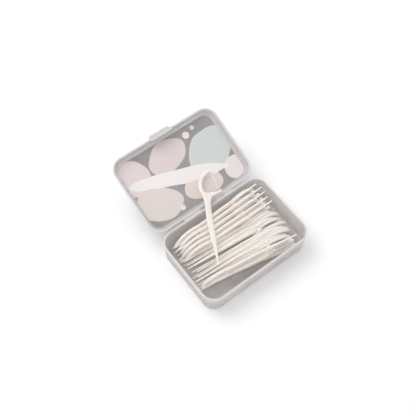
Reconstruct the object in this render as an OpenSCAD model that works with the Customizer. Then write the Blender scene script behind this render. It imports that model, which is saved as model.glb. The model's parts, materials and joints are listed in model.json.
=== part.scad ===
// Hinged pocket box of dental floss picks, standing open with one pick lifted out ready to take.
// X runs along the hinge, +Y points from the catch to the hinge and +Z up.
// The origin is the middle of the tray's underside.

/* [Box] */
// Room along the box beyond the length of a pick, both ends together
end_room = 14; // [12:0.5:26]
// Width of the box from the catch side to the hinge side
box_w = 60.2; // [59:0.2:70]
// Height of the tray
tray_h = 19.2; // [18.8:0.2:26]
// Depth of the lid
lid_h = 6.6; // [6:0.2:12]
// Radius of the corners seen from above
corner_r = 10; // [8:0.5:12]
// Thickness of the walls of the tray and the lid
wall = 1.2; // [0.8:0.1:1.4]
// Thickness of the tray's floor and of the lid's roof
floor_t = 1.2; // [0.8:0.1:1.5]
// How far each side leans in from the rim to the bottom
draft = 0.7; // [0.2:0.1:1]
// Outer radius round the bottom edge of the tray
tray_edge_r = 2.6; // [2:0.1:3.5]
// Outer radius round the roof edge of the lid
lid_edge_r = 3; // [2:0.1:4]
// Bevel on the rims of the tray and the lid
rim_bevel = 0.3; // [0.1:0.05:0.35]

/* [Hinge] */
// How far the lid stands open, where 0 is closed
lid_open = 159.2; // [120:0.1:165]
// Gap between the tray and the open lid, which the living hinge bridges
hinge_gap = 1.7; // [1.4:0.1:2.4]
// Width of each hinge strap
strap_w = 14.4; // [8:0.1:18]
// Distance of each strap's middle from the middle of the box
strap_x = 13.8; // [11:0.1:22]
// Thickness of a strap at its ends
strap_t = 0.5; // [0.3:0.05:0.6]
// Thickness of a strap at its fold line
strap_fold_t = 0.25; // [0.15:0.05:0.28]

/* [Catch] */
// Width of the thumb tab on the lid
tab_w = 17; // [12:0.5:24]
// How far the thumb tab stands out
tab_out = 2; // [1.2:0.1:3]
// Height of the thumb tab
tab_h = 2.4; // [1.6:0.1:3.2]
// Width of the catch tongue behind the tab
tongue_w = 17.5; // [12:0.5:24]
// Thickness of the catch tongue
tongue_t = 1; // [0.8:0.1:1.3]
// How far the closed tongue reaches down into the tray
tongue_drop = 2.6; // [2:0.1:3.2]
// How far the bead on the tongue stands out
bead_out = 0.3; // [0.2:0.05:0.35]

/* [Pick] */
// Length of a floss pick
pick_l = 74; // [66:0.5:84]
// Thickness of a pick's handle and head
pick_t = 1.6; // [1.3:0.05:1.7]
// Width of the handle at its grip
grip_w = 4.2; // [3.6:0.1:4.8]
// Width of the handle at its neck
neck_w = 3.7; // [3.2:0.1:4.2]
// How far the handle bows towards the curved arm's side
handle_bow = 0.7; // [0:0.1:1.2]
// Width of the toothpick tip
tip_w = 0.9; // [0.6:0.1:1.2]
// Thickness of the toothpick tip
tip_t = 0.7; // [0.5:0.1:1]
// Outer radius of the curved arm
arm_r = 14.3; // [13.4:0.1:14.8]
// Width of the curved arm
arm_w = 2.6; // [2.2:0.1:3]
// How far the curved arm bulges past the handle's middle line
arm_rise = 4.7; // [4:0.1:5.2]
// How far the short arm reaches to the other side of that line
bar_reach = 11.8; // [10.6:0.1:12]
// Width of the short arm
bar_w = 1.9; // [1.6:0.1:2.3]
// Diameter of the floss strand
strand_d = 0.45; // [0.3:0.05:0.6]

/* [Heap] */
// Room left between neighbouring picks in the heap
heap_gap = 0.22; // [0.1:0.02:0.26]
// Lean of the front pick from upright, top towards the catch side
lean_front = 6; // [3:1:12]
// Lean of the back pick from upright
lean_back = 2; // [0:1:5]
// Turn of the front pick seen from above
yaw_front = -9; // [-10:0.5:-3]
// Turn of the back pick seen from above
yaw_back = 2; // [0:0.5:2]

/* [Served pick] */
// Slope of the pick that bridges from the heap to the open lid
served_slope = 2.2; // [2.1:0.1:3]
// Turn of that pick away from the hinge's direction
served_turn = 61.6; // [58:0.1:68]
// Where that pick crosses the hinge edge, along the box
served_x = -1; // [-3:0.1:3]
// How high it passes over the tray's rim there
served_rise = 2.2; // [2.1:0.1:3]
// How far its head reaches out from that crossing over the lid
served_out = 28.1; // [26:0.1:28.4]

/* [Hidden] */
// Length of the box along the hinge
box_l = pick_l + end_room;

// Radius of the fillets inside the tray and the lid
inner_edge_r = 1.6;

// How far a pick may lie off the middle of its row
shift_room = end_room / 2 - draft - wall - inner_edge_r / 2 - 0.6;

// The heap stands in rows, counted from the front: the room for their lower edges, their spacing and number
heap_back = box_w / 2 - draft - wall - inner_edge_r - pick_t - 0.3;
heap_front = -box_w / 2 + wall + 0.3 + pick_t / 2
    + (bar_reach + arm_rise + 1.5) * tan(lean_front) - (pick_l / 2 - shift_room * 0.8) * sin(yaw_front);
row_pitch = (pick_t + heap_gap) / cos(lean_front);
row_count = 1 + floor((heap_back - heap_front) / row_pitch);

// Where the served pick's tip lies, and where that pick has passed the heads at the heap's left end
tip_y = box_w / 2 - (pick_l - served_out) * sin(served_turn);
heads_end_y = box_w / 2 - (served_x + pick_l / 2 - 1.6 * arm_r) * tan(served_turn);

// Rows whose pick carries a second one, turned round, above its handle: those clear of the served pick
function row_at(y) = row_count - (heap_back - y) / row_pitch;
nested_rows = [for (i = [2:2:row_count]) if (i < row_at(tip_y) - 2 || i > row_at(heads_end_y)) i];

heap_count = row_count + len(nested_rows);

// Corner steps in a quarter turn, and steps in a rounded edge
arc_n = 9;
edge_n = 5;

// Clearances between the pieces
rest_gap = 0.25;
lid_gap = 0.2;
strap_gap = 0.06;
tongue_gap = 0.5;
print_t = 0.12;
print_margin = 0.5;

// Height and place of the hinge's axis
hinge_y = box_w / 2 + hinge_gap / 2;
hinge_z = tray_h;

// Slope of a pick that lies on its arm and its tip, slope of the second one above it, and how far back
// from that one's tip its handle passes over the first one's head
under_tilt = atan(arm_rise / (pick_l - arm_r)) - 0.1;
nested_tilt = under_tilt - 0.4;
nested_run = 18;

function pick_name(i) = str("pick_", i < 10 ? "0" : "", i);
function mix(a, b, s) = a + (b - a) * s;

// One ring of points round the box's outline, moved inwards by inset, at height z
function ring(inset, z) = [
    for (q = [0:3]) for (j = [0:arc_n])
        let (
            a = 90 * q + 90 * j / arc_n,
            cx = (q == 0 || q == 3 ? 1 : -1) * (box_l / 2 - corner_r),
            cy = (q < 2 ? 1 : -1) * (box_w / 2 - corner_r))
        [cx + (corner_r - inset) * cos(a), cy + (corner_r - inset) * sin(a), z]];

// A shell lofted through rings, each given as [inset, height]: closed at its first and its last ring
module dish(levels) {
    m = 4 * (arc_n + 1);
    last = len(levels) - 1;
    polyhedron(
        points = [for (l = levels) each ring(l[0], l[1])],
        faces = concat(
            [[for (j = [0:m - 1]) j]],
            [[for (j = [0:m - 1]) last * m + m - 1 - j]],
            [for (r = [0:last - 1]) for (j = [0:m - 1])
                let (k = (j + 1) % m)
                [r * m + j, (r + 1) * m + j, (r + 1) * m + k, r * m + k]]));
}

// The open box shape that the tray and the lid share: depth h, outer edge radius outer_r
function box_levels(h, outer_r) = concat(
    [for (j = [0:edge_n]) let (a = 90 * j / edge_n)
        [draft + outer_r * (1 - sin(a)), outer_r * (1 - cos(a))]],
    [[0, h - rim_bevel], [rim_bevel, h], [wall - rim_bevel, h], [wall, h - rim_bevel]],
    [for (j = [edge_n:-1:0]) let (a = 90 * j / edge_n)
        [draft + wall + inner_edge_r * (1 - sin(a)), floor_t + inner_edge_r * (1 - cos(a))]]);

module tray() {
    color("gainsboro")
        dish(box_levels(tray_h, tray_edge_r));
}

// Places what is drawn as on the closed box at its open place
module opened() {
    translate([0, hinge_y, hinge_z])
        rotate([-lid_open, 0, 0])
            translate([0, -hinge_y, lid_gap])
                children();
}

// The thumb tab seen from above, with round outer corners
function tab_outline() =
    let (r = tab_out * 0.8, hw = tab_w / 2)
    concat(
        [[-hw, rim_bevel + 0.2]],
        [for (j = [0:6]) let (a = 180 + 15 * j) [-hw + r + r * cos(a), -tab_out + r + r * sin(a)]],
        [for (j = [0:6]) let (a = 270 + 15 * j) [hw - r + r * cos(a), -tab_out + r + r * sin(a)]],
        [[hw, rim_bevel + 0.2]]);

// The catch tongue seen from its end: y runs inwards from the wall's inner face, z up from the lid's rim
function tongue_outline() =
    let (inner = tongue_gap + tongue_t, low = -lid_gap - tongue_drop, bead_h = 0.8)
    [[-0.3, rim_bevel + 0.1], [tongue_gap, 0], [tongue_gap, low + 2 * bead_h],
    [tongue_gap - bead_out, low + bead_h], [tongue_gap, low + 0.2], [tongue_gap + 0.2, low],
    [inner - 0.3, low], [inner, low + 0.4], [inner, 1.2], [inner - 0.6, 2.2], [-0.3, 2.2]];

module lid() {
    color("lightgray")
        opened()
            union() {
                translate([0, 0, lid_h])
                    rotate([180, 0, 0])
                        dish(box_levels(lid_h, lid_edge_r));
                translate([0, -box_w / 2, rim_bevel])
                    linear_extrude(tab_h)
                        polygon(tab_outline());
                translate([-tongue_w / 2, -box_w / 2 + wall, 0])
                    rotate([90, 0, 90])
                        linear_extrude(tongue_w)
                            polygon(tongue_outline());
            }
}

// The printed film bonded to the inside of the lid's roof
module lid_print() {
    inset = draft + wall + inner_edge_r + print_margin;
    color("mistyrose")
        opened()
            translate([0, 0, lid_h - floor_t - print_t])
                linear_extrude(print_t)
                    polygon([for (p = ring(inset, 0)) [p.x, p.y]]);
}

// A point of the open lid: y outwards and z upwards from the hinge's axis on the closed box
function opened_point(y, z) = [
    hinge_y + y * cos(lid_open) + (z + lid_gap) * sin(lid_open),
    hinge_z - y * sin(lid_open) + (z + lid_gap) * cos(lid_open)];

// A living hinge strap, thinner at its fold line
module hinge_strap(x) {
    drop = rim_bevel + 0.1;
    lid_y = -hinge_gap / 2 + strap_gap;
    tray_y = box_w / 2 + draft * 0.04;
    upper = opened_point(lid_y, drop);
    lower = opened_point(lid_y, drop + strap_t);
    fold_y = (tray_y + upper.x) / 2;
    fold_z = (hinge_z - drop + upper.y) / 2;
    color("white")
        translate([x - strap_w / 2, 0, 0])
            rotate([90, 0, 90])
                linear_extrude(strap_w)
                    polygon([
                        [tray_y, hinge_z - drop], [tray_y, hinge_z - drop - strap_t],
                        [fold_y, fold_z - strap_fold_t], lower, upper, [fold_y, fold_z]]);
}

// Half of a pick's width, at distance u from its tip
function half_width(u) = lookup(u, [
    [0, tip_w / 2], [pick_l * 0.06, tip_w * 0.75], [pick_l * 0.2, grip_w * 0.32],
    [pick_l * 0.34, grip_w * 0.45], [pick_l * 0.44, grip_w / 2], [pick_l * 0.54, neck_w / 2 + 0.15],
    [pick_l * 0.63, neck_w / 2]]);

// How far the handle's middle line bows there
function bow(u) = handle_bow * sin(180 * pow(min(u / (0.63 * pick_l), 1), 2.2));

// Middle of the curved arm's circle, and the two ends of the strand
arm_x = pick_l - arm_r + 0.6;
arm_y = arm_rise - arm_r;
arm_from = 17;
arm_to = 118;
strand_a = 21;
bar_x = arm_x - 7;
bar_lean = 2.4;
arm_hold = [arm_x + (arm_r - arm_w / 2) * cos(strand_a), arm_y + (arm_r - arm_w / 2) * sin(strand_a)];
bar_hold = [bar_x + bar_lean * 0.9, -bar_reach + bar_w * 0.45];

function arc(cx, cy, r, from, to, n) = [
    for (j = [0:n]) let (a = mix(from, to, j / n)) [cx + r * cos(a), cy + r * sin(a)]];

// Outline of a pick in its own plane: tip at the origin, head along +x, curved arm on the +y side
function pick_outline() =
    let (
        stations = [for (s = [0:7]) pick_l * 0.63 * s / 7],
        root_x = pick_l * 0.63,
        tip_r = arm_w / 2,
        tip_c = [arm_x + (arm_r - tip_r) * cos(arm_from), arm_y + (arm_r - tip_r) * sin(arm_from)],
        bar_end_r = bar_w * 0.42,
        bar_c = [bar_x + bar_lean, -bar_reach + bar_end_r],
        low_x = bar_x - bar_w / 2 + 0.5,
        low_y = -bar_reach * 0.62,
        up_x = bar_x + bar_w / 2,
        up_y = -bar_reach * 0.32,
        in_a = 108,
        in_r = arm_r - arm_w,
        in_p = [arm_x + in_r * cos(in_a), arm_y + in_r * sin(in_a)])
    concat(
        [for (u = stations) [u, bow(u) - half_width(u)]],
        [for (j = [1:5]) let (a = 18 * j)
            [root_x + (low_x - root_x) * sin(a), -neck_w / 2 + (low_y + neck_w / 2) * (1 - cos(a))]],
        arc(bar_c.x, bar_c.y, bar_end_r, 170, 370, 5),
        [for (j = [5:-1:1]) let (a = 18 * j)
            [in_p.x + (up_x - in_p.x) * sin(a), in_p.y + (up_y - in_p.y) * (1 - cos(a))]],
        arc(arm_x, arm_y, in_r, in_a, arm_from, 8),
        [for (j = [1:4]) let (a = arm_from - 180 + 36 * j)
            [tip_c.x + tip_r * cos(a), tip_c.y + tip_r * sin(a)]],
        arc(arm_x, arm_y, arm_r, arm_from, arm_to, 9),
        [for (j = [7:-1:0]) [stations[j], bow(stations[j]) + half_width(stations[j])]]);

// Side view of a pick: the toothpick end is thinner than the rest
function pick_side() =
    let (h = pick_t / 2, k = tip_t / 2)
    [[-1, -k], [0, -k], [pick_l * 0.42, -h], [pick_l + 1, -h],
    [pick_l + 1, h], [pick_l * 0.42, h], [0, k], [-1, k]];

module pick_shape() {
    intersection() {
        translate([0, 0, -pick_t])
            linear_extrude(2 * pick_t)
                polygon(pick_outline());
        rotate([90, 0, 0])
            linear_extrude(4 * bar_reach, center = true)
                polygon(pick_side());
    }
}

// The strand of floss, from the curved arm's end to the short arm's end
module strand() {
    run = arm_hold - bar_hold;
    translate([bar_hold.x, bar_hold.y, 0])
        rotate([0, 0, atan2(run.y, run.x)])
            rotate([0, 90, 0])
                cylinder(d = strand_d, h = norm(run), $fn = 8);
}

// How the picks that stand side by side lie: share runs from 0 at the front to 1 at the back
function share(i) = (i - 1) / (row_count - 1);
function lean(i) = mix(lean_front, lean_back, share(i));
function yaw(i) = mix(yaw_front, yaw_back, share(i));
function base_y(i) = heap_back - (row_count - i) * row_pitch;

// A steady scatter between 0 and 1, so that no two neighbours lie alike
function scatter(i, k) = let (v = sin(127.1 * i + 311.7 * k) * 437.58) v - floor(v);
function is_nested(i) = len(search(i, nested_rows)) > 0;
function arm_down(i) = is_nested(i) || scatter(i, 1) < 0.4;
function tilt(i) = is_nested(i) ? under_tilt
    : arm_down(i) ? mix(-7, 3.5, scatter(i, 2)) : mix(-4, 7, scatter(i, 2));

// How far a pick lies off the middle of its row: those at the front are pushed to the left
function shift(i) = shift_room * (share(i) < 0.2 ? -1 + 0.2 * scatter(i, 3)
    : (2 * scatter(i, 3) - 1) * (1 - 0.6 * share(i)));

// Lowest point of a pick's outline when its plane is tilted by t, arm up for flip 1 or down for flip -1
function lowest(t, flip) = min([for (p = pick_outline()) p.x * sin(t) + flip * p.y * cos(t)]);

// The upright plane of row i: x along the row and y up from the tray's floor
module in_row(i) {
    translate([0, base_y(i), floor_t])
        rotate([0, 0, yaw(i)])
            rotate([90 + lean(i), 0, 0])
                translate([0, rest_gap + pick_t / 2 * tan(lean(i)), 0])
                    children();
}

// A pick of row i, its lowest point on the floor
module standing(i) {
    flip = arm_down(i) ? -1 : 1;
    t = tilt(i);
    in_row(i)
        translate([shift(i) - pick_l / 2 * cos(t), -lowest(t, flip), 0])
            rotate([0, 0, t])
                rotate([flip < 0 ? 180 : 0, 0, 0])
                    children();
}

// A second pick in row i, turned round, whose handle passes over the first one's head
module nested(i) {
    tip_x = pick_l / 2 + shift(i);
    over = bar_reach + arm_rise + 0.35 * grip_w + rest_gap;
    in_row(i)
        translate([tip_x, over + nested_run * sin(nested_tilt), 0])
            rotate([0, 0, 180 + nested_tilt])
                rotate([180, 0, 0])
                    children();
}

// Puts a flat piece drawn in a pick's plane at the place of pick i in the heap
module in_heap(i) {
    if (i <= row_count)
        standing(i)
            children();
    else
        nested(nested_rows[i - row_count - 1])
            children();
}

module heap_pick(i) {
    color("ivory")
        in_heap(i)
            pick_shape();
}

module heap_strands() {
    color("white")
        for (i = [1:heap_count])
            in_heap(i)
                strand();
}

// Puts a flat piece drawn in a pick's plane on the hinge edge, reaching out over the open lid
module served() {
    translate([served_x, box_w / 2, tray_h + served_rise + pick_t / 2])
        rotate([served_slope, 0, 0])
            rotate([0, 0, served_turn])
                translate([served_out - pick_l, 0, 0])
                    children();
}

module served_pick() {
    color("snow")
        served()
            pick_shape();
}

module served_strand() {
    color("white")
        served()
            strand();
}

tray();
lid();
lid_print();
hinge_strap(-strap_x);  // hinge_strap_left
hinge_strap(strap_x);  // hinge_strap_right
served_pick();
served_strand();
heap_strands();
for (i = [1:heap_count])
    heap_pick(i);
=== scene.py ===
# %% [markdown]
# # A pocket box of floss picks
# This notebook dresses a small hinged box of floss picks. The real box is two thin shells of frosted
# polypropylene, joined by two living hinge straps, with a heap of white picks inside and one pick lifted out.
# The frame already holds every size, place and joint, so each cell only adds form and finish to it.

# %% Load the frame and keep its box
import json
import math

import bmesh
import bpy
import numpy as np
from mathutils import Matrix, Vector


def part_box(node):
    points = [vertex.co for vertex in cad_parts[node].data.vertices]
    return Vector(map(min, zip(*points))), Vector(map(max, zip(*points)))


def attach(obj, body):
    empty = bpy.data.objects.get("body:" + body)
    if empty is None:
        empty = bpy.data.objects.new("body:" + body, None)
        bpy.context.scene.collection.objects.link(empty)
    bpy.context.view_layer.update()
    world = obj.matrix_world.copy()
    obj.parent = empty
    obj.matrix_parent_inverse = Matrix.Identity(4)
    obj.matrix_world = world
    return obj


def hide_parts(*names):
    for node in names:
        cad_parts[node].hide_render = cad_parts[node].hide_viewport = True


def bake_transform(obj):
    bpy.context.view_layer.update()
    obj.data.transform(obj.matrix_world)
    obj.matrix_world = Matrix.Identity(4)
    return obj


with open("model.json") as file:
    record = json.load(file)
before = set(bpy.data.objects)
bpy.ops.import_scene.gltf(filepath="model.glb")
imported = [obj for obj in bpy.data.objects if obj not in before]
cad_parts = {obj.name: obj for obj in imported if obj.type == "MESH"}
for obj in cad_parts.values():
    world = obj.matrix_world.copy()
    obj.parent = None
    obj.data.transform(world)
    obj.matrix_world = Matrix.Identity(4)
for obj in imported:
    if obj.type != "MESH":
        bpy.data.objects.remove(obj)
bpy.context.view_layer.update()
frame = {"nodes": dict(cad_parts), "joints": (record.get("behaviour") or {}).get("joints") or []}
scene = bpy.context.scene
mm = 0.001
print("nodes:", len(frame["nodes"]))

# %% [markdown]
# ## The camera
# The photograph looks down over the catch corner of the tray from about half a metre. A long lens keeps the
# far edges nearly parallel. Placing the camera by angle, height and distance around a point makes it easy to
# correct one of them at a time, where typing its position would change all three.

# %% Camera
view_azimuth = math.radians(-37.07)
view_elevation = math.radians(61.28)
view_distance = 0.4901
view_centre = Vector((4.43, 37.3, 0)) * mm
focal_length = 58
film_width = 36
away = Vector((
    math.sin(view_azimuth) * math.cos(view_elevation),
    -math.cos(view_azimuth) * math.cos(view_elevation),
    math.sin(view_elevation)))
lens = bpy.data.cameras.new("camera")
lens.lens = focal_length
lens.sensor_width = film_width
lens.clip_start = 0.01
camera = bpy.data.objects.new("camera", lens)
camera.location = view_centre + away * view_distance
camera.rotation_euler = (-away).to_track_quat("-Z", "Y").to_euler()
scene.collection.objects.link(camera)
scene.camera = camera
scene.view_settings.view_transform = "Standard"
print("camera at", [round(c, 4) for c in camera.location])

# %% [markdown]
# ## Small helpers
# A material is a graph of nodes, so short helpers make a node with its settings, set its inputs by name and
# do a sum with a node. The others turn lists of points and faces into an object, apply its modifiers, turn
# its faces outwards, give it the value named edge and hand it over to the frame. They keep the later cells
# down to what is special about each piece.


# %% Helpers for nodes and meshes
def add_node(tree, kind, **settings):
    made = tree.nodes.new(kind)
    for name, value in settings.items():
        setattr(made, name, value)
    return made


def set_inputs(made, values):
    for name, value in values.items():
        made.inputs[name].default_value = value
    return made


def calculated(tree, operation, first, second=None, number=None):
    made = add_node(tree, "ShaderNodeMath", operation=operation)
    tree.links.new(first, made.inputs[0])
    if second is not None:
        tree.links.new(second, made.inputs[1])
    if number is not None:
        made.inputs[1].default_value = number
    return made.outputs[0]


def mesh_object(name, points, faces, material, smooth=True):
    mesh = bpy.data.meshes.new(name)
    mesh.from_pydata([tuple(p) for p in points], [], faces)
    mesh.materials.append(material)
    mesh.polygons.foreach_set("use_smooth", [smooth] * len(mesh.polygons))
    mesh.update()
    made = bpy.data.objects.new(name, mesh)
    scene.collection.objects.link(made)
    return made


def apply_modifiers(piece):
    depsgraph = bpy.context.evaluated_depsgraph_get()
    finished = bpy.data.meshes.new_from_object(piece.evaluated_get(depsgraph))
    piece.modifiers.clear()
    piece.data = finished
    return piece


def turn_outwards(piece):
    work = bmesh.new()
    work.from_mesh(piece.data)
    bmesh.ops.recalc_face_normals(work, faces=work.faces)
    work.to_mesh(piece.data)
    work.free()
    return piece


def set_edge(piece, values):
    edge = piece.data.attributes.new("edge", "FLOAT", "POINT")
    edge.data.foreach_set("value", values)


def hand_over(piece, body, replaced=()):
    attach(piece, body)
    if replaced:
        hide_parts(*replaced)
    print(piece.name, len(piece.data.polygons), "faces")


# %% [markdown]
# ## Shader groups
# Frosted and moulded plastics share one thing: a very fine unevenness that softens their gloss. It is built
# once as a node group, so that each material can use it at its own scale. A second group blends two close
# tints in soft clouds, because no plastic part is evenly coloured.


# %% A group for fine surface grain
def make_grain_group():
    group = bpy.data.node_groups.new("fine grain", "ShaderNodeTree")
    sockets = group.interface
    for name, value in (("Scale", 900), ("Rough low", 0.3), ("Rough high", 0.5), ("Bump", 0.2)):
        sockets.new_socket(name, in_out="INPUT", socket_type="NodeSocketFloat").default_value = value
    sockets.new_socket("Roughness", in_out="OUTPUT", socket_type="NodeSocketFloat")
    sockets.new_socket("Normal", in_out="OUTPUT", socket_type="NodeSocketVector")
    inside = add_node(group, "NodeGroupInput")
    outside = add_node(group, "NodeGroupOutput")
    place = add_node(group, "ShaderNodeTexCoord")
    noise = set_inputs(add_node(group, "ShaderNodeTexNoise"), {"Detail": 3, "Roughness": 0.6})
    spread = add_node(group, "ShaderNodeMapRange")
    bump = set_inputs(add_node(group, "ShaderNodeBump"), {"Distance": 0.02 * mm})
    link = group.links.new
    link(place.outputs["Object"], noise.inputs["Vector"])
    link(inside.outputs["Scale"], noise.inputs["Scale"])
    link(noise.outputs["Fac"], spread.inputs["Value"])
    link(inside.outputs["Rough low"], spread.inputs["To Min"])
    link(inside.outputs["Rough high"], spread.inputs["To Max"])
    link(noise.outputs["Fac"], bump.inputs["Height"])
    link(inside.outputs["Bump"], bump.inputs["Strength"])
    link(spread.outputs["Result"], outside.inputs["Roughness"])
    link(bump.outputs["Normal"], outside.inputs["Normal"])
    return group


grain_group = make_grain_group()


# %% A group for soft clouds of two tints
def make_cloud_group():
    group = bpy.data.node_groups.new("tint clouds", "ShaderNodeTree")
    sockets = group.interface
    sockets.new_socket("Scale", in_out="INPUT", socket_type="NodeSocketFloat").default_value = 60
    sockets.new_socket("Tint A", in_out="INPUT", socket_type="NodeSocketColor")
    sockets.new_socket("Tint B", in_out="INPUT", socket_type="NodeSocketColor")
    sockets.new_socket("Colour", in_out="OUTPUT", socket_type="NodeSocketColor")
    inside = add_node(group, "NodeGroupInput")
    outside = add_node(group, "NodeGroupOutput")
    place = add_node(group, "ShaderNodeTexCoord")
    noise = set_inputs(add_node(group, "ShaderNodeTexNoise"), {"Detail": 2})
    steep = set_inputs(add_node(group, "ShaderNodeMapRange"), {"From Min": 0.35, "From Max": 0.65})
    blend = add_node(group, "ShaderNodeMix", data_type="RGBA")
    link = group.links.new
    link(place.outputs["Object"], noise.inputs["Vector"])
    link(inside.outputs["Scale"], noise.inputs["Scale"])
    link(noise.outputs["Fac"], steep.inputs["Value"])
    link(steep.outputs["Result"], blend.inputs["Factor"])
    link(inside.outputs["Tint A"], blend.inputs[6])
    link(inside.outputs["Tint B"], blend.inputs[7])
    link(blend.outputs[2], outside.inputs["Colour"])
    return group


cloud_group = make_cloud_group()


# %% [markdown]
# ## Frosted polypropylene
# The box is a milky, see-through plastic: thin walls show what lies behind them, while the rim and the
# rounded edges look denser, because light crosses more plastic there. A share of transparency gives this and
# keeps the shadow under the box light. Each shell carries a value named edge, 1 on its rim and high on its
# round edges, that makes the plastic denser and a little lighter there.


# %% Material for the frosted shells
def principled(name):
    material = bpy.data.materials.new(name)
    material.use_nodes = True
    return material, material.node_tree, material.node_tree.nodes["Principled BSDF"]


def shade_alpha(tree, alpha, shade):
    """An alpha that is denser for light than for the eye, because milky plastic scatters light."""
    rays = add_node(tree, "ShaderNodeLightPath")
    light = calculated(tree, "MAXIMUM", rays.outputs["Is Shadow Ray"], rays.outputs["Is Diffuse Ray"])
    blocked = calculated(tree, "MULTIPLY", light, number=shade)
    return calculated(tree, "MAXIMUM", alpha, blocked)


def frosted_plastic(name, wall_tints, edge_tint, wall_alpha, edge_alpha):
    material, tree, shader = principled(name)
    link = tree.links.new
    clouds = add_node(tree, "ShaderNodeGroup", node_tree=cloud_group)
    set_inputs(clouds, {"Scale": 110, "Tint A": wall_tints[0], "Tint B": wall_tints[1]})
    grain = add_node(tree, "ShaderNodeGroup", node_tree=grain_group)
    set_inputs(grain, {"Scale": 1400, "Rough low": 0.3, "Rough high": 0.48, "Bump": 0.25})
    edge = add_node(tree, "ShaderNodeAttribute", attribute_name="edge")
    tint = add_node(tree, "ShaderNodeMix", data_type="RGBA")
    tint.inputs[7].default_value = edge_tint
    density = set_inputs(add_node(tree, "ShaderNodeMapRange"), {"To Min": wall_alpha, "To Max": edge_alpha})
    link(clouds.outputs["Colour"], tint.inputs[6])
    link(edge.outputs["Fac"], tint.inputs["Factor"])
    link(edge.outputs["Fac"], density.inputs["Value"])
    link(tint.outputs[2], shader.inputs["Base Color"])
    link(density.outputs["Result"], shader.inputs["Alpha"])
    link(grain.outputs["Roughness"], shader.inputs["Roughness"])
    link(grain.outputs["Normal"], shader.inputs["Normal"])
    shader.inputs["IOR"].default_value = 1.49
    shader.inputs["Subsurface Weight"].default_value = 0.15
    shader.inputs["Subsurface Radius"].default_value = (1, 0.9, 0.85)
    shader.inputs["Subsurface Scale"].default_value = 2 * mm
    return material


tray_plastic = frosted_plastic(
    "frosted tray", ((0.68, 0.64, 0.635, 1), (0.76, 0.725, 0.72, 1)), (0.76, 0.735, 0.73, 1), 0.55, 0.92)
lid_plastic = frosted_plastic(
    "frosted lid", ((0.65, 0.62, 0.62, 1), (0.72, 0.69, 0.69, 1)), (0.76, 0.74, 0.74, 1), 0.55, 0.92)
web_plastic = frosted_plastic(
    "hinge web", ((0.66, 0.64, 0.63, 1), (0.7, 0.68, 0.67, 1)), (0.74, 0.73, 0.72, 1), 0.85, 0.9)

# %% [markdown]
# ## The two shells
# Both halves are the same kind of form: a rounded rectangle that leans in a little towards its closed side,
# so that it leaves its mould. A loft fits that: one profile of the wall, as pairs of inset and height, is
# carried round the outline. Arcs in the profile give the soft bottom edge, the round rim and the fillet
# inside, and they are cut finer than the frame's own solids, which only have to be the right size.

# %% Sizes of the shells
tray_low, tray_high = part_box("tray")
box_length = tray_high.x - tray_low.x
box_width = tray_high.y - tray_low.y
tray_height = tray_high.z
lid_depth = 6.6 * mm
corner_radius = 10 * mm
wall = 1.2 * mm
floor_thickness = 1.2 * mm
draft = 0.7 * mm
tray_edge = 2.6 * mm
lid_edge = 3 * mm
inner_edge = 1.6 * mm
rim_round = 0.35 * mm
corner_steps = 18
wall_shares = (0.25, 0.5, 0.75)
wall_density = 0.1
below_rim_density = 0.3
fillet_density = 0.3
round_density = 0.75
print("box", [round(v / mm, 1) for v in (box_length, box_width, tray_height)], "mm")


# %% Loft a shell from its wall profile
def quarter_arc(steps):
    return [math.pi / 2 * step / steps for step in range(steps + 1)]


def wall_profile(depth, outer_edge):
    """The wall from the bottom outside, over the rim, to the bottom inside, as (inset, height, edge)."""
    profile = []
    rim_start = depth - rim_round
    for turn in quarter_arc(10):
        profile.append((draft + outer_edge * (1 - math.sin(turn)), outer_edge * (1 - math.cos(turn)),
                        round_density * math.sin(turn * 2)))
    for share in wall_shares:
        height = outer_edge + (rim_start - outer_edge) * share
        profile.append((draft * (1 - share), height, wall_density if share < 0.7 else below_rim_density))
    for turn in quarter_arc(4):
        profile.append((rim_round * (1 - math.cos(turn)), rim_start + rim_round * math.sin(turn), 1))
    for turn in reversed(quarter_arc(4)):
        profile.append((wall - rim_round * (1 - math.cos(turn)), rim_start + rim_round * math.sin(turn), 1))
    inner_bottom = floor_thickness + inner_edge
    for share in wall_shares:
        height = rim_start - (rim_start - inner_bottom) * share
        profile.append((wall + draft * share, height, wall_density))
    for turn in reversed(quarter_arc(8)):
        profile.append((draft + wall + inner_edge * (1 - math.sin(turn)),
                        floor_thickness + inner_edge * (1 - math.cos(turn)),
                        fillet_density * math.sin(turn * 2)))
    return profile


def outline_ring(inset, height):
    ring = []
    corners = ((1, 1), (-1, 1), (-1, -1), (1, -1))
    for quarter, (side_x, side_y) in enumerate(corners):
        for step in range(corner_steps + 1):
            turn = math.pi / 2 * (quarter + step / corner_steps)
            ring.append(Vector((
                side_x * (box_length / 2 - corner_radius) + (corner_radius - inset) * math.cos(turn),
                side_y * (box_width / 2 - corner_radius) + (corner_radius - inset) * math.sin(turn),
                height)))
    return ring


def shell(name, depth, outer_edge, material, place):
    profile = wall_profile(depth, outer_edge)
    rings = [outline_ring(inset, height) for inset, height, _ in profile]
    around = len(rings[0])
    points = [place @ point for ring in rings for point in ring]
    faces = [tuple(reversed(range(around)))]
    for level in range(len(rings) - 1):
        for step in range(around):
            beside = (step + 1) % around
            a, b = level * around, (level + 1) * around
            faces.append((a + step, a + beside, b + beside, b + step))
    top = (len(rings) - 1) * around
    faces.append(tuple(range(top, top + around)))
    made = mesh_object(name, points, faces, material)
    set_edge(made, [value for _, _, value in profile for _ in range(around)])
    return made


tray_shell = shell("tray_shell", tray_height, tray_edge, tray_plastic, Matrix.Identity(4))
hand_over(tray_shell, "tray", ["tray"])

# %% [markdown]
# ## Where the open lid stands
# Everything on the lid is easiest to describe on the closed box, with heights counted from the lid's rim. One
# matrix then turns it about the hinge to where it stands open. The hinge's place and its angle come from
# the frame's joint, so the lid can never be dressed in a place where the frame doesn't hold it.

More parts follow.
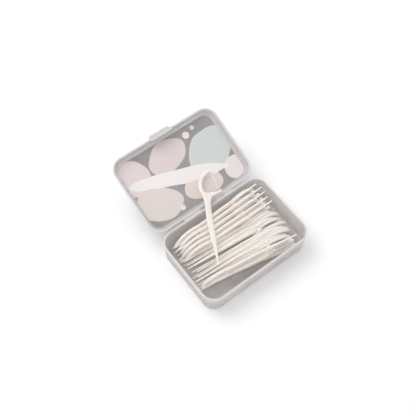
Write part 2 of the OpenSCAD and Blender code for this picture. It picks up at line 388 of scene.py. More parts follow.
# %% The matrix of the open lid
hinge = next(joint for joint in frame["joints"] if joint["name"] == "lid_hinge")
hinge_point = Vector(hinge["pos_m"])
lid_open = math.radians(-hinge["range_deg"][0])
rim_gap = 0.2 * mm
opened = (Matrix.Translation(hinge_point) @ Matrix.Rotation(-lid_open, 4, "X")
          @ Matrix.Translation((0, -hinge_point.y, rim_gap)))
upside_down = Matrix.Translation((0, 0, lid_depth)) @ Matrix.Rotation(math.pi, 4, "X")

lid_shell = shell("lid_shell", lid_depth, lid_edge, lid_plastic, opened @ upside_down)
hand_over(lid_shell, "lid", ["lid"])

# %% [markdown]
# ## Thumb tab and catch tongue
# A thumb lifts the lid by a low tab at its front, and a tongue behind it snaps past the tray's wall. Both are
# outlines pushed out to a constant thickness, so one helper extrudes them, and a bevel with three steps
# gives the soft edges of a moulding.

# %% Helper for extruded mouldings
tab_width = 17 * mm
tab_out = 2 * mm
tab_height = 2.4 * mm
tab_above_rim = 0.3 * mm
tab_corner = 1.6 * mm
tab_corner_steps = 6
tab_root = 0.1 * mm
tab_softness = 0.35 * mm
tongue_width = 17.5 * mm
tongue_thickness = 1 * mm
tongue_clearance = 0.5 * mm
tongue_drop = 2.6 * mm
tongue_softness = 0.12 * mm
tongue_foot = 0.4 * mm
tongue_lead_in = 0.2 * mm
tongue_root = 2.2 * mm
tongue_in_wall = 0.05 * mm
bead_out = 0.3 * mm
bead_half = 0.8 * mm
bevel_steps = 3
bevel_angle = math.radians(50)
moulding_density = 0.8


def extruded(name, outline, first, last, to_point, material, soften):
    """Pushes a flat outline from first to last. to_point makes a point of two coordinates and the push."""
    count = len(outline)
    points = [to_point(a, b, push) for push in (first, last) for a, b in outline]
    faces = [tuple(reversed(range(count))), tuple(range(count, 2 * count))]
    faces += [(i, (i + 1) % count, count + (i + 1) % count, count + i) for i in range(count)]
    made = mesh_object(name, points, faces, material)
    bevel = made.modifiers.new("soft edges", "BEVEL")
    bevel.width = soften
    bevel.segments = bevel_steps
    bevel.limit_method = "ANGLE"
    bevel.angle_limit = bevel_angle
    turn_outwards(apply_modifiers(made))
    set_edge(made, [moulding_density] * len(made.data.vertices))
    return made


# %% Tab and tongue
def tab_outline():
    side = tab_width / 2
    left = [(tab_corner * (1 - math.cos(turn)) - side, tab_corner * (1 - math.sin(turn)) - tab_out)
            for turn in quarter_arc(tab_corner_steps)]
    right = [(-x, y) for x, y in reversed(left)]
    return [(-side, tab_root), *left, *right, (side, tab_root)]


thumb_tab = extruded(
    "thumb_tab", tab_outline(), tab_above_rim, tab_above_rim + tab_height,
    lambda x, y, z: opened @ Vector((x, y - box_width / 2, z)), lid_plastic, tab_softness)
hand_over(thumb_tab, "lid")


def tongue_outline():
    low = -rim_gap - tongue_drop
    inner = tongue_clearance + tongue_thickness
    return [(-tongue_in_wall, tongue_foot), (tongue_clearance, 0), (tongue_clearance, low + 2 * bead_half),
            (tongue_clearance - bead_out, low + bead_half), (tongue_clearance, low + tongue_lead_in),
            (tongue_clearance + tongue_lead_in, low), (inner - 0.3 * mm, low), (inner, low + tongue_foot),
            (inner, 1.2 * mm), (inner - 0.6 * mm, tongue_root), (-tongue_in_wall, tongue_root)]


catch_tongue = extruded(
    "catch_tongue", tongue_outline(), -tongue_width / 2, tongue_width / 2,
    lambda y, z, x: opened @ Vector((x, y - box_width / 2 + wall, z)), web_plastic, tongue_softness)
hand_over(catch_tongue, "lid")

# %% [markdown]
# ## Living hinge straps
# Each strap is moulded with the two shells and thins down to a fold line half way. Its two faces are read
# from the frame's solid: three edges of each, at the tray, the fold and the lid.

# %% Curved straps
strap_strips = 14
strap_columns = 12
strap_density = 0.5


def through_three(a, b, c, t):
    """A smooth line through a, b and c, where t runs from 0 to 1."""
    return a * (1 - t) * (1 - 2 * t) + b * 4 * t * (1 - t) + c * t * (2 * t - 1)


def hinge_web(name, cad_name):
    corners = sorted({(round(v.co.y, 6), round(v.co.z, 6)) for v in frame["nodes"][cad_name].data.vertices})
    rows = [sorted(corners[first:first + 2], key=lambda p: p[1]) for first in (0, 2, 4)]
    under = [Vector((0, *row[0])) for row in rows]
    over = [Vector((0, *row[1])) for row in rows]
    low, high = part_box(cad_name)
    points, faces = [], []
    loop = 2 * (strap_columns + 1)
    for strip in range(strap_strips + 1):
        t = strip / strap_strips
        upper, lower = through_three(*over, t), through_three(*under, t)
        xs = [low.x + (high.x - low.x) * column / strap_columns for column in range(strap_columns + 1)]
        points += [(x, upper.y, upper.z) for x in xs]
        points += [(x, lower.y, lower.z) for x in reversed(xs)]
    for strip in range(strap_strips):
        for step in range(loop):
            beside = (step + 1) % loop
            a, b = strip * loop, (strip + 1) * loop
            faces.append((a + step, b + step, b + beside, a + beside))
    faces.append(tuple(range(loop)))
    faces.append(tuple(reversed(range(strap_strips * loop, (strap_strips + 1) * loop))))
    made = mesh_object(name, points, faces, web_plastic, smooth=False)
    set_edge(made, [strap_density] * len(made.data.vertices))
    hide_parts(cad_name)
    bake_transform(made)
    print(name, len(faces), "faces")


for side in ("left", "right"):
    hinge_web("hinge_web_" + side, "hinge_strap_" + side)


# %% [markdown]
# ## The printed film
# A thin printed film lines the inside of the lid. Between its shapes the film is clear, and its colour there
# is a dark grey of painted shade, the shade under the open lid seen through it; the shapes are opaque pastel
# inks. Each shape is a pebble: an ellipse whose edge wanders a little with a slow noise. One node group makes
# a pebble's mask from its centre, its size and its turn, so a print is a list of pebbles laid over each
# other, as a printer lays down inks. The design is a plain one of pebbles, a band and dots.


# %% A group for one printed pebble
def make_pebble_group():
    group = bpy.data.node_groups.new("printed pebble", "ShaderNodeTree")
    sockets = group.interface
    for name in ("Place", "Centre", "Size"):
        sockets.new_socket(name, in_out="INPUT", socket_type="NodeSocketVector")
    for name, value in (("Turn", 0), ("Wander", 0.2), ("Wander scale", 40)):
        sockets.new_socket(name, in_out="INPUT", socket_type="NodeSocketFloat").default_value = value
    sockets.new_socket("Below", in_out="INPUT", socket_type="NodeSocketColor")
    sockets.new_socket("Ink", in_out="INPUT", socket_type="NodeSocketColor")
    sockets.new_socket("Covered", in_out="INPUT", socket_type="NodeSocketFloat")
    sockets.new_socket("Colour", in_out="OUTPUT", socket_type="NodeSocketColor")
    sockets.new_socket("Cover", in_out="OUTPUT", socket_type="NodeSocketFloat")
    inside = add_node(group, "NodeGroupInput")
    outside = add_node(group, "NodeGroupOutput")
    shift = add_node(group, "ShaderNodeVectorMath", operation="SUBTRACT")
    turn = add_node(group, "ShaderNodeVectorRotate", rotation_type="Z_AXIS")
    fit = add_node(group, "ShaderNodeVectorMath", operation="DIVIDE")
    reach = add_node(group, "ShaderNodeVectorMath", operation="LENGTH")
    noise = set_inputs(add_node(group, "ShaderNodeTexNoise"), {"Detail": 1, "Roughness": 0.3})
    wander = add_node(group, "ShaderNodeMath", operation="MULTIPLY_ADD")
    mask = set_inputs(add_node(group, "ShaderNodeMapRange"), {
        "From Min": 1.012, "From Max": 0.988, "To Min": 0, "To Max": 1})
    ink = add_node(group, "ShaderNodeMix", data_type="RGBA")
    link = group.links.new
    link(inside.outputs["Place"], shift.inputs[0])
    link(inside.outputs["Centre"], shift.inputs[1])
    link(shift.outputs["Vector"], turn.inputs["Vector"])
    link(inside.outputs["Turn"], turn.inputs["Angle"])
    link(turn.outputs["Vector"], fit.inputs[0])
    link(inside.outputs["Size"], fit.inputs[1])
    link(fit.outputs["Vector"], reach.inputs[0])
    link(inside.outputs["Place"], noise.inputs["Vector"])
    link(inside.outputs["Wander scale"], noise.inputs["Scale"])
    link(calculated(group, "SUBTRACT", noise.outputs["Fac"], number=0.5), wander.inputs[0])
    link(inside.outputs["Wander"], wander.inputs[1])
    link(reach.outputs["Value"], wander.inputs[2])
    link(wander.outputs[0], mask.inputs["Value"])
    link(mask.outputs["Result"], ink.inputs["Factor"])
    link(inside.outputs["Below"], ink.inputs[6])
    link(inside.outputs["Ink"], ink.inputs[7])
    cover = calculated(group, "MAXIMUM", mask.outputs["Result"], inside.outputs["Covered"])
    link(ink.outputs[2], outside.inputs["Colour"])
    link(cover, outside.inputs["Cover"])
    return group


pebble_group = make_pebble_group()

# %% The design, pebble by pebble
# Centre and half sizes are in millimetres on the closed lid, seen from inside, with x along the hinge.
ink_pebbles = [
    ("mint", (26, -2), (19, 15), 0.5, (0.67, 0.71, 0.69, 1)),
    ("cream", (-27, 12), (17, 12), -0.3, (0.80, 0.72, 0.68, 1)),
    ("blush", (-3, -14), (16, 11), 0.2, (0.78, 0.68, 0.68, 1)),
    ("rose", (-33, -13), (12, 13), 0.1, (0.80, 0.70, 0.70, 1)),
    ("sand", (8, 17), (15, 9), -0.1, (0.82, 0.72, 0.67, 1)),
    ("petal", (35, 18), (9, 8), 0.4, (0.87, 0.80, 0.79, 1)),
    ("band", (-4, 3), (36, 5.5), -0.32, (0.93, 0.89, 0.87, 1)),
    ("dot one", (17, -20), (2.6, 2.6), 0, (0.89, 0.81, 0.80, 1)),
    ("dot two", (24, -22.5), (1.7, 1.7), 0, (0.73, 0.77, 0.74, 1)),
    ("dot three", (-15, 22.5), (2.1, 2.1), 0, (0.89, 0.81, 0.80, 1)),
]


clear_density = 0.78
inked_density = 0.97


def film_material():
    material, tree, shader = principled("printed film")
    link = tree.links.new
    place = add_node(tree, "ShaderNodeTexCoord")
    on_lid = add_node(tree, "ShaderNodeMapping", vector_type="TEXTURE")
    on_lid.inputs["Location"].default_value = hinge_point
    on_lid.inputs["Rotation"].default_value = (-lid_open, 0, 0)
    to_mm = add_node(tree, "ShaderNodeVectorMath", operation="MULTIPLY_ADD")
    to_mm.inputs[1].default_value = (1000, 1000, 0)
    to_mm.inputs[2].default_value = (0, hinge_point.y * 1000, 0)
    link(place.outputs["Object"], on_lid.inputs["Vector"])
    link(on_lid.outputs["Vector"], to_mm.inputs[0])
    # The dark grey clouds of the clear film are painted shade: the shade under the open lid, seen through it.
    painted_shade_tint = add_node(tree, "ShaderNodeGroup", node_tree=cloud_group)
    set_inputs(painted_shade_tint, {"Scale": 40, "Tint A": (0.40, 0.365, 0.37, 1), "Tint B": (0.48, 0.45, 0.455, 1)})
    colour = painted_shade_tint.outputs["Colour"]
    cover = None
    for name, centre, size, turn, ink in ink_pebbles:
        pebble = add_node(tree, "ShaderNodeGroup", node_tree=pebble_group, label=name)
        set_inputs(pebble, {
            "Centre": (*centre, 0), "Size": (*size, 1), "Turn": turn, "Ink": ink,
            "Wander": 0.12 if name.startswith("dot") else 0.5, "Wander scale": 0.045})
        link(to_mm.outputs["Vector"], pebble.inputs["Place"])
        link(colour, pebble.inputs["Below"])
        if cover is not None:
            link(cover, pebble.inputs["Covered"])
        colour, cover = pebble.outputs["Colour"], pebble.outputs["Cover"]
    density = set_inputs(add_node(tree, "ShaderNodeMapRange"), {
        "To Min": clear_density, "To Max": inked_density})
    grain = add_node(tree, "ShaderNodeGroup", node_tree=grain_group)
    set_inputs(grain, {"Scale": 2200, "Rough low": 0.22, "Rough high": 0.36, "Bump": 0.15})
    link(cover, density.inputs["Value"])
    link(shade_alpha(tree, density.outputs["Result"], inked_density), shader.inputs["Alpha"])
    link(colour, shader.inputs["Base Color"])
    link(grain.outputs["Roughness"], shader.inputs["Roughness"])
    link(grain.outputs["Normal"], shader.inputs["Normal"])
    return material


film = frame["nodes"]["lid_print"]
film.data.materials.clear()
film.data.materials.append(film_material())
print("film with", len(ink_pebbles), "pebbles")

# %% [markdown]
# ## One floss pick
# A pick is moulded flat, with a toothpick tip, a slim handle and a head of two arms that hold the floss
# between them. Its edges are fully round, which an extruded outline never gives. So it starts as a coarse
# cage of quads: rails run along both edges of the handle and of each arm, and three layers of them, the outer
# two drawn in, make a hexagonal section. A Subdivision Surface then melts that cage into a smooth moulding,
# and a half crease keeps its long corners from sinking in.

# %% Sizes of a pick, in millimetres
pick_length = 74
half_thick = 0.8
tip_half_thick = 0.35
grip_width = 4.2
neck_width = 3.7
handle_bow = 0.7
tip_width = 0.9
arm_radius = 14.3
arm_width = 2.6
arm_rise = 4.7
bar_reach = 11.8
bar_width = 1.9
floss_diameter = 0.45
arm_centre = Vector((pick_length - arm_radius + 0.6, arm_rise - arm_radius))
bar_x = arm_centre.x - 7
bar_lean = 2.4
bar_hold = Vector((bar_x + bar_lean * 0.9, -bar_reach + bar_width * 0.45))
thinning_end = 31
layer_drawn_in = 0.1
layer_pushed_out = 0.03
layer_rise = 1.04
root = 0.63 * pick_length


# %% The cage of a pick, and its smooth form
def handle_half_width(u):
    stations = np.array([0, 0.06, 0.2, 0.34, 0.44, 0.54, 0.63]) * pick_length
    widths = [tip_width / 2, tip_width * 0.75, grip_width * 0.32, grip_width * 0.45, grip_width / 2,
              neck_width / 2 + 0.15, neck_width / 2]
    return float(np.interp(u, stations, widths))


def handle_middle(u):
    return handle_bow * math.sin(math.pi * min(u / root, 1) ** 2.2)


def on_arm(radius, degrees):
    turn = math.radians(degrees)
    return arm_centre + radius * Vector((math.cos(turn), math.sin(turn)))


handle_stations = (0, 0.8, 4.4, 9.5, 14.8, 20, 25.2, 30, 35, 40, 45)
shoulder_pair = (Vector((50.2, 2.35)), Vector((50.2, -2.65)))
crotch = Vector((54.9, -0.4))
arm_degrees = (117, 105, 92, 79, 66, 53, 40, 28, 19.5)
bar_pairs = (((54.5, -3.7), (52.1, -4.7)), ((54.6, -7.4), (52.8, -7.7)), ((56.1, -10.5), (54.4, -11.3)))


def pick_rails():
    """Three pairs of rails: along the handle, along the curved arm and along the short arm."""
    handle = []
    for u in handle_stations:
        middle, half = handle_middle(u), handle_half_width(u)
        handle.append((Vector((u, middle + half)), Vector((u, middle - half))))
    handle.append(shoulder_pair)
    arm = [(shoulder_pair[0], crotch)]
    for degrees in arm_degrees:
        arm.append((on_arm(arm_radius, degrees), on_arm(arm_radius - arm_width, degrees)))
    bar = [(crotch, shoulder_pair[1])]
    for inner, outer in bar_pairs:
        bar.append((Vector(inner), Vector(outer)))
    return handle, arm, bar


def pick_cage():
    handle, arm, bar = pick_rails()
    points, faces, index = [], [], {}

    def corner(key, flat, inward, u):
        """Three layers of one rail point: top and bottom drawn towards the other rail, and the middle."""
        if key in index:
            return index[key]
        thinned = min(max(u, 0) / thinning_end, 1)
        half = (tip_half_thick + (half_thick - tip_half_thick) * thinned) * layer_rise
        drawn = flat + (inward - flat) * layer_drawn_in
        out = flat + (flat - inward) * layer_pushed_out
        index[key] = (len(points), len(points) + 1, len(points) + 2)
        points.extend([(drawn.x, drawn.y, half), (out.x, out.y, 0), (drawn.x, drawn.y, -half)])
        return index[key]

    def strip(name, pairs, shared):
        corners = []
        for i, (left, right) in enumerate(pairs):
            keys = shared.get(i, ((name, i, 0), (name, i, 1)))
            corners.append((corner(keys[0], left, right, left.x), corner(keys[1], right, left, right.x)))
        for (a, b), (c, d) in zip(corners, corners[1:]):
            faces.extend([(a[0], b[0], d[0], c[0]), (a[2], c[2], d[2], b[2]),
                          (a[1], a[0], c[0], c[1]), (a[2], a[1], c[1], c[2]),
                          (b[0], b[1], d[1], d[0]), (b[1], b[2], d[2], d[1])])
        return corners

    last = len(handle) - 1
    shoulder, heel, fork = ("handle", last, 0), ("handle", last, 1), ("fork",)
    points_of = strip("handle", handle, {})
    corner(fork, arm[0][1], (handle[last][0] + handle[last][1]) / 2, thinning_end)
    arm_corners = strip("arm", arm, {0: (shoulder, fork)})
    bar_corners = strip("bar", bar, {0: (fork, heel)})
    s, h, f = index[shoulder], index[heel], index[fork]
    faces.extend([(s[0], h[0], f[0]), (s[2], f[2], h[2])])
    for side_a, side_b, flip in ((*points_of[0], False), (*arm_corners[-1], True), (*bar_corners[-1], True)):
        ends = [(side_a[1], side_b[1], side_b[0], side_a[0]), (side_a[2], side_b[2], side_b[1], side_a[1])]
        faces.extend([tuple(reversed(face)) for face in ends] if flip else ends)
    return points, faces


corner_angle = math.radians(40)
corner_crease = 0.6


def remove_inner_walls(piece):
    """Deletes faces that two strips both made, turns all faces outwards and creases the long corners."""
    work = bmesh.new()
    work.from_mesh(piece.data)
    seen = {}
    for face in work.faces:
        seen.setdefault(frozenset(v.index for v in face.verts), []).append(face)
    doubled = [face for group in seen.values() if len(group) > 1 for face in group]
    bmesh.ops.delete(work, geom=doubled, context="FACES")
    bmesh.ops.recalc_face_normals(work, faces=work.faces)
    crease = work.edges.layers.float.new("crease_edge")
    for edge in work.edges:
        if edge.is_manifold and edge.calc_face_angle() > corner_angle:
            edge[crease] = corner_crease
    work.to_mesh(piece.data)
    work.free()


def pick_pattern(material):
    points, faces = pick_cage()
    made = mesh_object("pick_pattern", [Vector(p) * mm for p in points], faces, material)
    remove_inner_walls(made)
    smooth = made.modifiers.new("smooth", "SUBSURF")
    smooth.levels = smooth.render_levels = 2
    return apply_modifiers(made)


# %% [markdown]
# ## The plastic of the picks
# The picks are a warm white polystyrene with a soft gloss. Light passes into it and comes out a little
# yellow, which is why the gaps of the heap look like cream and not grey. Subsurface scattering does most of
# that, and a faint glow stands for the light that goes on from pick to pick. A value named tone, different
# for each pick, shifts its tint slightly, so that the heap doesn't look cloned.


# %% Material of the picks
def pick_material():
    material, tree, shader = principled("pick plastic")
    link = tree.links.new
    tone = add_node(tree, "ShaderNodeAttribute", attribute_name="tone")
    tint = add_node(tree, "ShaderNodeMix", data_type="RGBA")
    tint.inputs[6].default_value = (0.69, 0.66, 0.635, 1)
    tint.inputs[7].default_value = (0.69, 0.675, 0.67, 1)
    grain = add_node(tree, "ShaderNodeGroup", node_tree=grain_group)
    set_inputs(grain, {"Scale": 1100, "Rough low": 0.4, "Rough high": 0.55, "Bump": 0.15})
    link(tone.outputs["Fac"], tint.inputs["Factor"])
    link(tint.outputs[2], shader.inputs["Base Color"])
    link(grain.outputs["Roughness"], shader.inputs["Roughness"])
    link(grain.outputs["Normal"], shader.inputs["Normal"])
    shader.inputs["IOR"].default_value = 1.5
    shader.inputs["Subsurface Weight"].default_value = 1
    shader.inputs["Subsurface Radius"].default_value = (1, 0.85, 0.6)
    shader.inputs["Subsurface Scale"].default_value = 4 * mm
    shader.inputs["Specular IOR Level"].default_value = 0.35
    shader.inputs["Emission Color"].default_value = (1, 0.89, 0.8, 1)
    shader.inputs["Emission Strength"].default_value = 0.15
    return material


def floss_material():
    material, tree, shader = principled("floss")
    link = tree.links.new
    clouds = add_node(tree, "ShaderNodeGroup", node_tree=cloud_group)
    set_inputs(clouds, {"Scale": 800, "Tint A": (0.86, 0.86, 0.85, 1), "Tint B": (0.93, 0.93, 0.93, 1)})
    grain = add_node(tree, "ShaderNodeGroup", node_tree=grain_group)
    set_inputs(grain, {"Scale": 5000, "Rough low": 0.45, "Rough high": 0.7, "Bump": 0.4})
    link(clouds.outputs["Colour"], shader.inputs["Base Color"])
    link(grain.outputs["Roughness"], shader.inputs["Roughness"])
    link(grain.outputs["Normal"], shader.inputs["Normal"])
    shader.inputs["Sheen Weight"].default_value = 0.2
    return material


pick_plastic = pick_material()
floss_white = floss_material()
pattern = pick_pattern(pick_plastic)
print("one pick:", len(pattern.data.polygons), "faces")

# %% [markdown]
# ## The strand of floss
# Between the arms runs a strand of fine filaments, slightly twisted. At this size three plies are enough to
# read as floss. They leave the curved arm together and fan out a little towards the short one. Each ply is a
# thin tube along a helix, and it ends inside the two arms.

# %% A twisted strand
floss_plies = 3
ply_turns = 2.2
ply_radius = floss_diameter * 0.34
ply_swing = floss_diameter * 0.24
ply_step = Vector((-0.48, 1.104))
arm_hold = on_arm(arm_radius - arm_width / 2, 21)
floss_steps = 26
ply_sides = 6


def strand_pattern(material):
    along = (arm_hold - bar_hold).to_3d().normalized()
    across = Vector((-along.y, along.x, 0))
    upwards = Vector((0, 0, 1))
    points, faces = [], []
    for ply in range(floss_plies):
        base = len(points)
        start = bar_hold + ply_step * ply
        for step in range(floss_steps + 1):
            t = step / floss_steps
            twist = 2 * math.pi * (ply / floss_plies + ply_turns * t)
            swing = (across * math.cos(twist) + upwards * math.sin(twist)) * ply_swing
            centre = start.lerp(arm_hold, t).to_3d() + swing
            for side in range(ply_sides):
                around = 2 * math.pi * side / ply_sides
                rim = (across * math.cos(around) + upwards * math.sin(around)) * ply_radius
                points.append((centre + rim) * mm)
        for step in range(floss_steps):
            for side in range(ply_sides):
                beside = (side + 1) % ply_sides
                a, b = base + step * ply_sides, base + (step + 1) * ply_sides
                faces.append((a + side, a + beside, b + beside, b + side))
        faces.append(tuple(reversed(range(base, base + ply_sides))))
        faces.append(tuple(range(base + floss_steps * ply_sides, base + (floss_steps + 1) * ply_sides)))
    return turn_outwards(mesh_object("strand_pattern", points, faces, material))


strand = strand_pattern(floss_white)
print("one strand:", len(strand.data.polygons), "faces")

# %% [markdown]
# ## Where each pick lies
# The frame holds every pick as a solid in its place, and all of them are the same shape. Three facts of a
# solid give its whole pose: the tip is the part furthest from its middle, the flat direction is the one in
# which its points spread least, and the two corners of the tip lie across the pick. The short arm reaches
# further from the handle than the curved one bulges, which tells one side from the other.


# %% Read a pick's pose from its solid
tip_zone = 0.4 * mm


def pose_of(cad_name):
    points = np.unique(np.round([v.co for v in frame["nodes"][cad_name].data.vertices], 7), axis=0)
    middle = points.mean(axis=0)
    flat = np.linalg.svd(points - middle)[2][2]
    reach = np.linalg.norm(points - middle, axis=1)
    tip_points = points[reach > reach.max() - tip_zone]
    tip = tip_points.mean(axis=0)
    spread = (tip_points - tip) - np.outer((tip_points - tip) @ flat, flat)
    across = spread[np.argmax(np.linalg.norm(spread, axis=1))]
    across /= np.linalg.norm(across)
    sideways = (points - tip) @ across
    if abs(sideways.min()) < sideways.max():
        across = -across
    along = np.cross(across, flat)
    if (middle - tip) @ along < 0:
        along, flat = -along, -flat
    pose = Matrix((along, across, flat)).transposed().to_4x4()
    pose.translation = Vector(tip)
    return pose


heap_names = sorted(name for name in frame["nodes"] if name.startswith("pick_"))
heap_poses = [pose_of(name) for name in heap_names]
served_pose = pose_of("served_pick")
print(len(heap_poses), "picks lie in the heap; the first tip is at",
      [round(v / mm, 1) for v in heap_poses[0].translation], "mm")

# %% [markdown]
# ## The heap
# Geometry Nodes repeat the pick and its strand: a cloud of points marks the tips, each point carries its turn
# as a quaternion, and one tree sets a copy of the pattern on each of them. A random value, with a fixed seed,
# becomes the tone of each pick. Real picks bend a little against each other, so each copy also bows to the
# front or the back, by a slow noise read at its row: neighbours bow alike and keep apart. The strands use the
# same tree and follow their picks. Realize Instances comes before the bow, and what leaves is a plain mesh.


# %% A tree that sets a pattern on each place
def in_use(sockets, name):
    """A node may hold several sockets of one name, for different types of data. One of them is in use."""
    return next(socket for socket in sockets if socket.name == name and socket.enabled)


def named_attribute(tree, name, data_type):
    made = add_node(tree, "GeometryNodeInputNamedAttribute", data_type=data_type)
    made.inputs["Name"].default_value = name
    return in_use(made.outputs, "Attribute")


def stored(tree, geometry, name, value):
    """Keeps a value on each instance, so that its points still have it once they are real."""
    made = add_node(tree, "GeometryNodeStoreNamedAttribute", data_type="FLOAT", domain="INSTANCE")
    made.inputs["Name"].default_value = name
    tree.links.new(geometry, made.inputs["Geometry"])
    tree.links.new(value, in_use(made.inputs, "Value"))
    return made.outputs["Geometry"]


def row_noise(tree):
    """A value from -1 to 1 that changes slowly from row to row."""
    slow = set_inputs(add_node(tree, "ShaderNodeTexNoise"), {"Scale": 40, "Detail": 0})
    amount = set_inputs(add_node(tree, "ShaderNodeMapRange"), {
        "From Min": 0.25, "From Max": 0.75, "To Min": -1, "To Max": 1})
    tree.links.new(named_attribute(tree, "row", "FLOAT_VECTOR"), slow.inputs["Vector"])
    tree.links.new(slow.outputs["Fac"], amount.inputs["Value"])
    return amount.outputs["Result"]


def bowed(tree, geometry, most):
    """Moves the middle of each pick one way and its ends the other way, by up to most."""
    turned = calculated(tree, "MULTIPLY", named_attribute(tree, "along", "FLOAT"), number=math.pi)
    arch = calculated(tree, "SUBTRACT", calculated(tree, "SINE", turned), number=0.35)
    share = calculated(tree, "MULTIPLY", arch, named_attribute(tree, "sway", "FLOAT"))
    offset = add_node(tree, "ShaderNodeVectorMath", operation="SCALE")
    offset.inputs[0].default_value = (0, 1, 0)
    moved = add_node(tree, "GeometryNodeSetPosition")
    tree.links.new(calculated(tree, "MULTIPLY", share, most), offset.inputs["Scale"])
    tree.links.new(geometry, moved.inputs["Geometry"])
    tree.links.new(offset.outputs["Vector"], moved.inputs["Offset"])
    return moved.outputs["Geometry"]


def make_place_tree():
    tree = bpy.data.node_groups.new("pattern on places", "GeometryNodeTree")
    tree.is_modifier = True
    sockets = tree.interface
    sockets.new_socket("Places", in_out="INPUT", socket_type="NodeSocketGeometry")
    sockets.new_socket("Pattern", in_out="INPUT", socket_type="NodeSocketObject")
    sockets.new_socket("Size", in_out="INPUT", socket_type="NodeSocketFloat")
    sockets.new_socket("Tone seed", in_out="INPUT", socket_type="NodeSocketInt")
    sockets.new_socket("Sway", in_out="INPUT", socket_type="NodeSocketFloat")
    sockets.new_socket("Finish", in_out="INPUT", socket_type="NodeSocketMaterial")
    sockets.new_socket("Pieces", in_out="OUTPUT", socket_type="NodeSocketGeometry")
    inside = add_node(tree, "NodeGroupInput")
    outside = add_node(tree, "NodeGroupOutput")
    pattern_info = add_node(tree, "GeometryNodeObjectInfo")
    copies = add_node(tree, "GeometryNodeInstanceOnPoints")
    tone = add_node(tree, "FunctionNodeRandomValue", data_type="FLOAT")
    real = add_node(tree, "GeometryNodeRealizeInstances")
    finish = add_node(tree, "GeometryNodeSetMaterial")
    link = tree.links.new
    link(inside.outputs["Places"], copies.inputs["Points"])
    link(inside.outputs["Pattern"], pattern_info.inputs["Object"])
    link(pattern_info.outputs["Geometry"], copies.inputs["Instance"])
    link(named_attribute(tree, "turn", "QUATERNION"), copies.inputs["Rotation"])
    link(inside.outputs["Size"], copies.inputs["Scale"])
    link(inside.outputs["Tone seed"], tone.inputs["Seed"])
    toned = stored(tree, copies.outputs["Instances"], "tone", in_use(tone.outputs, "Value"))
    link(stored(tree, toned, "sway", row_noise(tree)), real.inputs["Geometry"])
    link(bowed(tree, real.outputs["Geometry"], inside.outputs["Sway"]), finish.inputs["Geometry"])
    link(inside.outputs["Finish"], finish.inputs["Material"])
    link(finish.outputs["Geometry"], outside.inputs["Pieces"])
    return tree


place_tree = make_place_tree()


# %% Copies on their places
heap_sway = 1.2 * mm


def mark_along(template):
    """Stores how far along the pick each point of a pattern lies: 0 at the tip, 1 at the head."""
    along = template.data.attributes.new("along", "FLOAT", "POINT")
    along.data.foreach_set("value", [v.co.x / (pick_length * mm) for v in template.data.vertices])


def set_on_places(name, poses, template, material, seed, sway=0):
    mesh = bpy.data.meshes.new(name)
    mesh.from_pydata([tuple(pose.translation) for pose in poses], [], [])
    turns = mesh.attributes.new("turn", "QUATERNION", "POINT")
    turns.data.foreach_set("value", [part for pose in poses for part in pose.to_quaternion()])
    rows = mesh.attributes.new("row", "FLOAT_VECTOR", "POINT")
    middle = Vector((pick_length / 2 * mm, 0, 0))
    rows.data.foreach_set("vector", [part for pose in poses for part in (0, (pose @ middle).y, 0)])
    made = bpy.data.objects.new(name, mesh)
    scene.collection.objects.link(made)
    modifier = made.modifiers.new("places", "NODES")
    modifier.node_group = place_tree
    wanted = {"Pattern": template, "Size": 1.0, "Tone seed": seed, "Sway": float(sway), "Finish": material}
    for socket in place_tree.interface.items_tree:
        if socket.in_out == "INPUT" and socket.name in wanted:
            modifier[socket.identifier] = wanted[socket.name]
    return apply_modifiers(made)


for template in (pattern, strand):
    mark_along(template)
heap = set_on_places("heap_of_picks", heap_poses, pattern, pick_plastic, 4, heap_sway)
hand_over(heap, "tray", heap_names)
heap_floss = set_on_places("heap_floss", heap_poses, strand, floss_white, 5, heap_sway)
hand_over(heap_floss, "tray", ["heap_strands"])
served = set_on_places("served_floss_pick", [served_pose], pattern, pick_plastic, 9)
hand_over(served, "served_pick", ["served_pick"])
served_floss = set_on_places("served_floss", [served_pose], strand, floss_white, 9)
hand_over(served_floss, "served_pick", ["served_strand"])
for template in (pattern, strand):
    bpy.data.objects.remove(template)

# %% [markdown]
# ## Floor and light
# The box stands on a seamless white ground in soft daylight. The floor's own material makes it white for the
# camera, and for reflections and see-through plastic, while the object only gets plain light, so its colours
# render as they are written. A wide lamp, high up behind the left side, gives the shadows their direction.


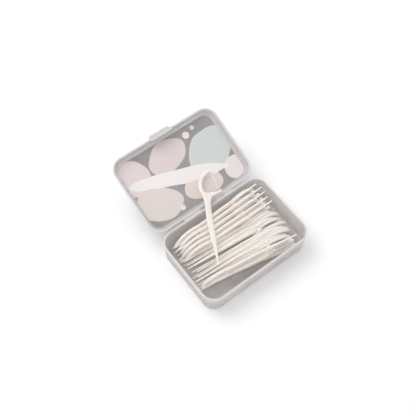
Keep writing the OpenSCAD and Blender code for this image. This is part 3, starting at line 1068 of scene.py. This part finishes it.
# %% Floor
floor_lift = 0.03
floor_half = 3
floor_drop = 0.02 * mm


def floor_material():
    material, tree, shader = principled("floor")
    link = tree.links.new
    rays = add_node(tree, "ShaderNodeLightPath")
    seen = calculated(tree, "MAXIMUM", rays.outputs["Is Camera Ray"], rays.outputs["Is Glossy Ray"])
    seen_through = calculated(tree, "MAXIMUM", seen, rays.outputs["Is Transmission Ray"])
    paper = add_node(tree, "ShaderNodeTexNoise")
    tint = add_node(tree, "ShaderNodeMix", data_type="RGBA")
    set_inputs(paper, {"Scale": 6, "Detail": 1})
    tint.inputs[6].default_value = (0.98, 0.98, 0.98, 1)
    tint.inputs[7].default_value = (0.99, 0.99, 0.99, 1)
    link(paper.outputs["Fac"], tint.inputs["Factor"])
    link(tint.outputs[2], shader.inputs["Base Color"])
    link(calculated(tree, "MULTIPLY", seen_through, number=floor_lift), shader.inputs["Emission Strength"])
    shader.inputs["Emission Color"].default_value = (1, 1, 1, 1)
    shader.inputs["Roughness"].default_value = 0.9
    shader.inputs["Specular IOR Level"].default_value = 0.1
    return material


floor = mesh_object("floor", [(-floor_half, -floor_half, 0), (floor_half, -floor_half, 0),
                              (floor_half, floor_half, 0), (-floor_half, floor_half, 0)],
                    [(0, 1, 2, 3)], floor_material(), smooth=False)
floor.data.transform(Matrix.Translation((0, 0, -floor_drop)))


# %% World and lamps
lamp_place = (-0.23, 0.55, 0.98)
lamp_size = 0.8
lamp_energy = 5
sky_strength = 0.74


def area_lamp(name, place, size, energy):
    lamp = bpy.data.lights.new(name, "AREA")
    lamp.shape = "DISK"
    lamp.size = size
    lamp.energy = energy
    made = bpy.data.objects.new(name, lamp)
    made.location = place
    made.rotation_euler = (view_centre - Vector(place)).to_track_quat("-Z", "Y").to_euler()
    scene.collection.objects.link(made)


world = bpy.data.worlds.new("studio")
world.use_nodes = True
sky = world.node_tree.nodes["Background"]
sky.inputs["Color"].default_value = (1, 1, 1, 1)
sky.inputs["Strength"].default_value = sky_strength
scene.world = world
area_lamp("key", lamp_place, lamp_size, lamp_energy)
